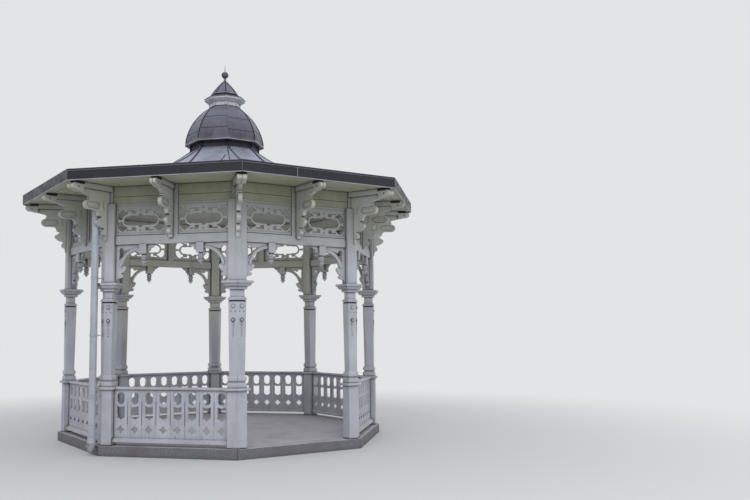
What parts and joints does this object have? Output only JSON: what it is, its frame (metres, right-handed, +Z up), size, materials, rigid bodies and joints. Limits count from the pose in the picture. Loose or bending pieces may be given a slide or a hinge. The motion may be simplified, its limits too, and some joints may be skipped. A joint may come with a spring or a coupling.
{
  "type": "bandstand",
  "caption": "Octagonal white timber bandstand with sawn fretwork, arches and pierced balustrades under a low sheet-metal roof with a small dome",
  "frame": {"origin": "bottom centre of the plinth, on the ground under the middle of the octagon", "axes": "+Z up through the finial, -Y out through the open entrance bay, +X to the right as one walks in"},
  "size_m": [6.566, 6.566, 6.7994],
  "materials": {
    "white_timber": "white oil paint on softwood, weathered",
    "kerb_stone": "fine-picked grey granite",
    "screed": "grey cement screed, worn",
    "soffit_paint": "cream paint on boards, greened",
    "fascia_metal": "dark coated sheet, seamed",
    "roof_metal": "weathered grey sheet with standing seams",
    "dome_metal": "brown-grey weathered sheet",
    "pipe_paint": "pale grey paint on sheet metal"
  },
  "bodies": {
    "root": {"plinth": "kerb_stone", "floor": "screed", "post_1": "white_timber", "post_2": "white_timber", "post_3": "white_timber", "post_4": "white_timber", "post_5": "white_timber", "post_6": "white_timber", "post_7": "white_timber", "post_8": "white_timber", "balustrade_1": "white_timber", "balustrade_2": "white_timber", "balustrade_3": "white_timber", "balustrade_4": "white_timber", "balustrade_5": "white_timber", "balustrade_6": "white_timber", "balustrade_7": "white_timber", "fretwork_1": "white_timber", "fretwork_2": "white_timber", "fretwork_3": "white_timber", "fretwork_4": "white_timber", "fretwork_5": "white_timber", "fretwork_6": "white_timber", "fretwork_7": "white_timber", "fretwork_8": "white_timber", "tie_beams": "white_timber", "arches": "white_timber", "pendants": "white_timber", "corner_brackets": "white_timber", "side_brackets": "white_timber", "rafter_ends": "white_timber", "eaves_band": "white_timber", "soffit": "soffit_paint", "ceiling": "soffit_paint", "fascia": "fascia_metal", "roof": "roof_metal", "roof_sweep": "roof_metal", "roof_neck": "roof_metal", "dome": "dome_metal", "lantern_drum": "white_timber", "lantern_cornice": "white_timber", "lantern_cap": "dome_metal", "finial": "dome_metal", "downpipe": "pipe_paint"}
  },
  "joints": []
}
